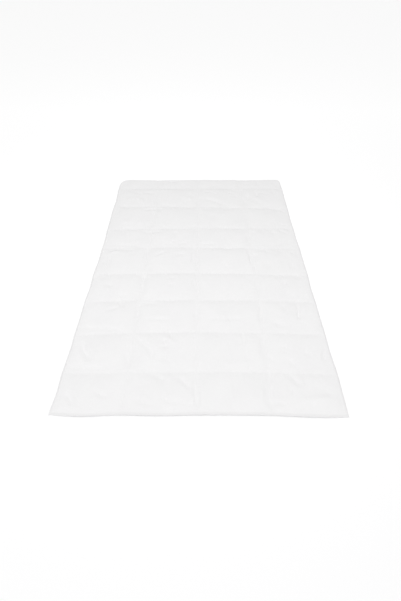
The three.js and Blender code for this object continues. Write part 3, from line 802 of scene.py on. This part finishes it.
shape = X.shape
number = np.arange(X.size).reshape(shape)
on_seam = (np.abs(COLUMN - np.round(COLUMN)) < 1e-6) | (np.abs(ROW - np.round(ROW)) < 1e-6)
PUCKERS = np.zeros(shape)
held = number[on_seam | ON_RIM].ravel()
points = np.stack([X, Y, Z], -1).reshape(-1, 3) * MM
blown = blown_up(points, grid_quads(number), held)
PUCKERS = puckers_of(blown[:, 2].reshape(shape) / MM)
PINCHED = np.where(ON_RIM, 0, pinch_of(COLUMN, ROW, X, Y))
DRESSED = Z + FOLDS + PUCKER_SHARE * PUCKERS - PINCHED
DRESSED = np.where(ON_RIM, DRESSED, np.maximum(DRESSED, lower_height(COLUMN, ROW, X, Y) + LEAST_GAP))
top = np.stack([X, Y, DRESSED], -1)

# Cells with a fold are divided in four: points in the middle of their edges and of the cell itself


def halves(values, axis):
    if axis == "row":
        return (values[:, :-1] + values[:, 1:]) / 2
    if axis == "column":
        return (values[:-1] + values[1:]) / 2
    return (values[:-1, :-1] + values[:-1, 1:] + values[1:, 1:] + values[1:, :-1]) / 4


def dressed(column, row, puckers):
    """Place and full height of points inside the hem's stitch line."""
    x, y = plan(column, row)
    smooth, folds = upper_height(column, row, x, y)
    full = smooth + folds + PUCKER_SHARE * puckers - pinch_of(column, row, x, y)
    return x, y, np.maximum(full, lower_height(column, row, x, y) + LEAST_GAP)


def middles(axis):
    return np.stack(dressed(*(halves(v, axis) for v in (COLUMN, ROW, PUCKERS))), -1)


centre = middles("cell")
flat_centre = halves(DRESSED, "cell")
inner = np.maximum(np.maximum(RING[:-1, :-1], RING[:-1, 1:]), np.maximum(RING[1:, 1:], RING[1:, :-1])) < 0
divided = inner & (np.abs(centre[..., 2] - flat_centre) > MISS)
grown = divided.copy()
grown[1:] |= divided[:-1]
grown[:-1] |= divided[1:]
grown[:, 1:] |= divided[:, :-1]
grown[:, :-1] |= divided[:, 1:]
divided = grown & inner
on_row_edge = np.zeros((shape[0], shape[1] - 1), bool)
on_row_edge[:-1] |= divided
on_row_edge[1:] |= divided
on_column_edge = np.zeros((shape[0] - 1, shape[1]), bool)
on_column_edge[:, :-1] |= divided
on_column_edge[:, 1:] |= divided


def numbered(wanted, first):
    """Point numbers for the wanted places, and -1 elsewhere."""
    index = np.full(wanted.shape, -1)
    index[wanted] = first + np.arange(wanted.sum())
    return index


row_middle = numbered(on_row_edge, number.size)
column_middle = numbered(on_column_edge, number.size + on_row_edge.sum())
cell_middle = numbered(divided, number.size + on_row_edge.sum() + on_column_edge.sum())
upper_points = np.concatenate([
    top.reshape(-1, 3),
    middles("row")[on_row_edge],
    middles("column")[on_column_edge],
    centre[divided],
])
upper_faces = []
for r in range(shape[0] - 1):
    for c in range(shape[1] - 1):
        corners = (number[r, c], number[r, c + 1], number[r + 1, c + 1], number[r + 1, c])
        sides = (row_middle[r, c], column_middle[r, c + 1], row_middle[r + 1, c], column_middle[r, c])
        if divided[r, c]:
            middle = cell_middle[r, c]
            upper_faces += [(corners[k], sides[k], middle, sides[k - 1]) for k in range(4)]
        else:
            loop = [v for pair in zip(corners, sides) for v in pair if v >= 0]
            upper_faces.append(tuple(loop))

# Lower face, a quarter as fine, joined to the same outline
lower_columns = places([c // 4 for c in BOX_CELLS], BOXES, [])
lower_rows = places([c // 4 for c in BAND_CELLS], BANDS, [])


def outline(index):
    """Point numbers round a grid, anticlockwise from its first point."""
    return np.concatenate([index[0, :-1], index[:-1, -1], index[-1, :0:-1], index[:0:-1, 0]])


all_points = [upper_points]
all_faces = [upper_faces]
count = len(upper_points)
edge_column, edge_row = outline(COLUMN), outline(ROW)
edge_side, edge_end = outline(SIDEWAYS), outline(ENDWAYS)
previous = outline(number)
for inset, hem, rounded in LOWER_RIM:
    pull = HEM - inset
    side = np.sign(edge_side) * np.minimum(pull, np.abs(edge_side))
    end = np.sign(edge_end) * np.minimum(pull, np.abs(edge_end))
    px, py = plan(edge_column, edge_row, side, end)
    ring = np.array((inset, hem, rounded))
    pz = rim_height(edge_column, edge_row, px, py, ring, False)
    index = count + np.arange(len(px))
    count += len(px)
    all_points.append(np.stack([px, py, pz], -1))
    all_faces.append(np.stack([np.roll(previous, -1), previous, index, np.roll(index, -1)], -1))
    previous = index

LC, LR = np.meshgrid(lower_columns[:, 0], lower_rows[:, 0])
LX, LY = plan(LC, LR)
LZ = lower_height(LC, LR, LX, LY)
lower = count + np.arange(LX.size).reshape(LX.shape)
all_points.append(np.stack([LX, LY, LZ], -1).reshape(-1, 3))
all_faces.append(grid_quads(lower)[:, ::-1])


def turns(column, row, columns_n, rows_n):
    """How far round the outline each place of an outline is, from 0 to 4."""
    side = np.repeat([0, 1, 2, 3], [columns_n - 1, rows_n - 1, columns_n - 1, rows_n - 1])
    a, b = column / BOXES, row / BANDS
    return side + np.choose(side, [a, b, 1 - a, 1 - b])


outer = previous
outer_turn = turns(edge_column, edge_row, shape[1], shape[0])
inner = outline(lower)
inner_turn = turns(outline(LC), outline(LR), LC.shape[1], LC.shape[0])
zipped = []
i = j = 0
while i < len(outer) or j < len(inner):
    next_outer = outer_turn[i + 1] if i + 1 < len(outer) else 4.0
    next_inner = inner_turn[j + 1] if j + 1 < len(inner) else 4.0
    a, b = outer[i % len(outer)], inner[j % len(inner)]
    if j >= len(inner) or (i < len(outer) and next_outer <= next_inner):
        zipped.append((a, b, outer[(i + 1) % len(outer)]))
        i += 1
    else:
        zipped.append((a, b, inner[(j + 1) % len(inner)]))
        j += 1

shell_points = (np.concatenate(all_points) - (shift_x, shift_y, 0)) * MM
shell_faces = [tuple(int(i) for i in f) for block in all_faces for f in block]
shell_faces += [tuple(int(i) for i in f) for f in zipped]
duvet = new_object("duvet_cover", shell_points, shell_faces)


def up_line(order):
    """Places along a seam on the upper face, with the points between two corners where it has them."""
    return upper_points[order[order >= 0]]


def stitched(name, lines, side):
    """The stitches of one kind of seam as one piece: a short run of thread each, its ends sunk in the cloth.

    side is 1 on the upper face and -1 on the lower one.
    """
    rings = UP_RINGS if side > 0 else UNDER_RINGS
    sides = UP_SIDES if side > 0 else UNDER_SIDES
    starts, ends = [], []
    for line in lines:
        gone = np.concatenate([[0], np.cumsum(np.linalg.norm(np.diff(line, axis=0), axis=1))])
        count = int((gone[-1] - STITCH) / PITCH)
        at = (gone[-1] - count * PITCH) / 2 + PITCH * np.arange(count)
        starts.append(np.stack([np.interp(at, gone, line[:, k]) for k in range(3)], -1))
        ends.append(np.stack([np.interp(at + STITCH, gone, line[:, k]) for k in range(3)], -1))
    start, end = np.concatenate(starts), np.concatenate(ends)
    run = end - start
    run /= np.linalg.norm(run, axis=1)[:, None]
    across = np.cross(run, (0, 0, 1))
    across /= np.linalg.norm(across, axis=1)[:, None]
    out = np.cross(across, run) * side
    points = []
    for share, rise, radius in rings:
        middle = start + (end - start) * share + out * rise
        for k in range(sides):
            turned = 2 * math.pi * k / sides
            points.append(middle + radius * (math.cos(turned) * across + math.sin(turned) * out))
    points = np.stack(points, 1)
    each = len(rings) * sides
    faces = [tuple(range(sides)), tuple(range(each - 1, each - 1 - sides, -1))]
    for r in range(len(rings) - 1):
        for k in range(sides):
            a, b = r * sides + k, r * sides + (k + 1) % sides
            faces.append((b, a, a + sides, b + sides))
    if side < 0:
        faces = [f[::-1] for f in faces]
    all_places = (points.reshape(-1, 3) - (shift_x, shift_y, 0)) * MM
    all_loops = [tuple(each * n + i for i in f) for n in range(len(start)) for f in faces]
    piece = new_object(name, all_places, all_loops)
    piece.data.materials.append(thread)
    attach(piece, "root")


def new_node(tree, kind, inputs=None, **settings):
    """A shader node with its settings and the values of its inputs."""
    node = tree.nodes.new("ShaderNode" + kind)
    for name, value in settings.items():
        setattr(node, name, value)
    for name, value in (inputs or {}).items():
        node.inputs[name].default_value = value
    return node


def new_material(name, inputs):
    """A material, its nodes, its shader with the values of its inputs, and a place on the object."""
    material = bpy.data.materials.new(name)
    material.use_nodes = True
    tree = material.node_tree
    shader = tree.nodes["Principled BSDF"]
    for key, value in inputs.items():
        shader.inputs[key].default_value = value
    return material, tree, shader, new_node(tree, "TexCoord").outputs["Object"]


def pattern(tree, kind, place, inputs, **settings):
    """What a noise or wave texture gives at a place."""
    texture = new_node(tree, kind, inputs, **settings)
    tree.links.new(place, texture.inputs["Vector"])
    return texture.outputs["Fac"]


def two_tones(tree, factor, low, high):
    """A colour between two, each given with its place on the ramp."""
    ramp = new_node(tree, "ValToRGB")
    for stop, (position, color) in zip(ramp.color_ramp.elements, (low, high)):
        stop.position = position
        stop.color = color
    tree.links.new(factor, ramp.inputs["Fac"])
    return ramp.outputs["Color"]


def relief(tree, height, strength, distance):
    bump = new_node(tree, "Bump", {"Strength": strength, "Distance": distance})
    tree.links.new(height, bump.inputs["Height"])
    return bump


def sewing_thread():
    """White twisted sewing thread."""
    material, tree, shader, place = new_material("white_thread", {"Roughness": 0.6, "Sheen Weight": 0.2})
    patches = pattern(tree, "TexNoise", place, {"Scale": 160})
    color = two_tones(tree, patches, (0, (0.80, 0.80, 0.80, 1)), (1, (0.86, 0.86, 0.86, 1)))
    tree.links.new(color, shader.inputs["Base Color"])
    strands = {"Scale": 500, "Distortion": 1.5}
    twist = pattern(tree, "TexWave", place, strands, wave_type="BANDS", bands_direction="DIAGONAL")
    tree.links.new(relief(tree, twist, 0.5, 0.0001).outputs["Normal"], shader.inputs["Normal"])
    return material


thread = sewing_thread()
first_column, last_column = seam_columns[0], seam_columns[-1]
sewn_end = int(np.argmax(far_end(rows[:, 0]) > 0.5))
row_order = np.stack([number[:, :-1], row_middle], -1).reshape(shape[0], -1)
column_order = np.stack([number[:-1], column_middle], 1).reshape(-1, shape[1])
inside_hem = slice(2 * first_column, 2 * last_column)
stitched("stitches_across", [up_line(row_order[r, inside_hem]) for r in seam_rows[1:-1]], 1)
along = [up_line(column_order[2 * seam_rows[0] : 2 * seam_rows[-1], c]) for c in seam_columns[1:-1]]
stitched("stitches_along", along, 1)
hem_sides = [up_line(column_order[2 * seam_rows[0] : 2 * sewn_end, c]) for c in (first_column, last_column)]
stitched("stitches_hem", [up_line(row_order[seam_rows[0], inside_hem]), *hem_sides], 1)
under = np.stack([LX, LY, LZ], -1)
under_rows = np.cumsum([c // 4 for c in BAND_CELLS])[:-1]
under_columns = np.cumsum([c // 4 for c in BOX_CELLS])[:-1]
under_lines = [under[r] for r in under_rows] + [under[:, c] for c in under_columns]
stitched("stitches_under", under_lines, -1)


# The hem has no filling behind it. Its colour gets painted shade, a little darker, standing for the shadow
# along the edges. The rounded far end has no flat hem.
hem_shade_share = np.zeros(len(shell_points))
hem_shade_share[: number.size] = np.where(ON_RIM, 1 - far_end(ROW), 0).ravel()
duvet.data.attributes.new("hem", "FLOAT", "POINT").data.foreach_set("value", hem_shade_share)


def cover_cloth():
    """Fine white plain weave with a soft bloom, and painted shade on the hem."""
    finish = {"Roughness": 0.85, "Sheen Weight": 0.12, "Sheen Roughness": 0.45, "Specular IOR Level": 0.25}
    material, tree, shader, place = new_material("white_cloth", finish)
    cloudy = pattern(tree, "TexNoise", place, {"Scale": 9, "Detail": 5})
    tone = two_tones(tree, cloudy, (0.3, (0.856, 0.853, 0.855, 1)), (0.7, (0.872, 0.869, 0.870, 1)))
    # Painted shade: the hem's colour is multiplied a little darker
    hem = new_node(tree, "Attribute", attribute_name="hem")
    hem_shade = new_node(tree, "Mix", {"B": HEM_SHADE_TONE}, data_type="RGBA", blend_type="MULTIPLY")
    tree.links.new(hem.outputs["Fac"], hem_shade.inputs["Factor"])
    tree.links.new(tone, hem_shade.inputs["A"])
    tree.links.new(hem_shade.outputs["Result"], shader.inputs["Base Color"])
    yarn = {"Scale": 320, "Distortion": 0.6, "Detail": 1}
    weave = new_node(tree, "Math", operation="MULTIPLY")
    for slot, axis in enumerate("XY"):
        wave = pattern(tree, "TexWave", place, yarn, wave_type="BANDS", bands_direction=axis)
        tree.links.new(wave, weave.inputs[slot])
    crimp = pattern(tree, "TexNoise", place, {"Scale": 70, "Detail": 3})
    fine = relief(tree, weave.outputs["Value"], 0.25, 0.0004)
    soft = relief(tree, crimp, 0.3, 0.002)
    tree.links.new(fine.outputs["Normal"], soft.inputs["Normal"])
    tree.links.new(soft.outputs["Normal"], shader.inputs["Normal"])
    return material


duvet.data.materials.append(cover_cloth())
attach(duvet, "root")
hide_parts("duvet")


def floor_paint():
    """Pale floor, a little brighter away from the viewer."""
    glow = {"Emission Color": (1, 1, 1, 1), "Emission Strength": 0.115}
    material, tree, shader, place = new_material("floor", {"Roughness": 0.9, "Specular IOR Level": 0, **glow})
    axes = new_node(tree, "SeparateXYZ")
    tone = new_node(tree, "MapRange", {"From Min": -1.5, "From Max": 2.5, "To Min": 0.855, "To Max": 1.0})
    tree.links.new(place, axes.inputs["Vector"])
    tree.links.new(axes.outputs["Y"], tone.inputs["Value"])
    tree.links.new(tone.outputs["Result"], shader.inputs["Base Color"])
    return material


floor_corners = [(-FLOOR, -FLOOR, 0), (FLOOR, -FLOOR, 0), (FLOOR, FLOOR, 0), (-FLOOR, FLOOR, 0)]
floor = new_object("floor", floor_corners, [(0, 1, 2, 3)], False)
floor.location.z = -FLOOR_GAP
floor.data.materials.append(floor_paint())


def surround():
    """A pale world, brightest overhead."""
    world = bpy.data.worlds.new("surround")
    world.use_nodes = True
    tree = world.node_tree
    height = new_node(tree, "SeparateXYZ")
    pale = new_node(tree, "MapRange", {"From Min": 0, "From Max": 1, "To Min": 0.45, "To Max": 1.15})
    background = tree.nodes["Background"]
    background.inputs["Strength"].default_value = 0.907
    tree.links.new(new_node(tree, "TexCoord").outputs["Generated"], height.inputs["Vector"])
    tree.links.new(height.outputs["Z"], pale.inputs["Value"])
    tree.links.new(pale.outputs["Result"], background.inputs["Color"])
    return world


def area_light(name, place, aim, size, energy, color):
    lamp = bpy.data.lights.new(name, "AREA")
    lamp.shape = "RECTANGLE"
    lamp.size, lamp.size_y = size
    lamp.energy = energy
    lamp.color = color
    held = bpy.data.objects.new(name, lamp)
    held.location = place
    held.rotation_euler = (Vector(aim) - Vector(place)).to_track_quat("-Z", "Y").to_euler()
    scene.collection.objects.link(held)


scene.world = surround()
for light in LIGHTS:
    area_light(*light)
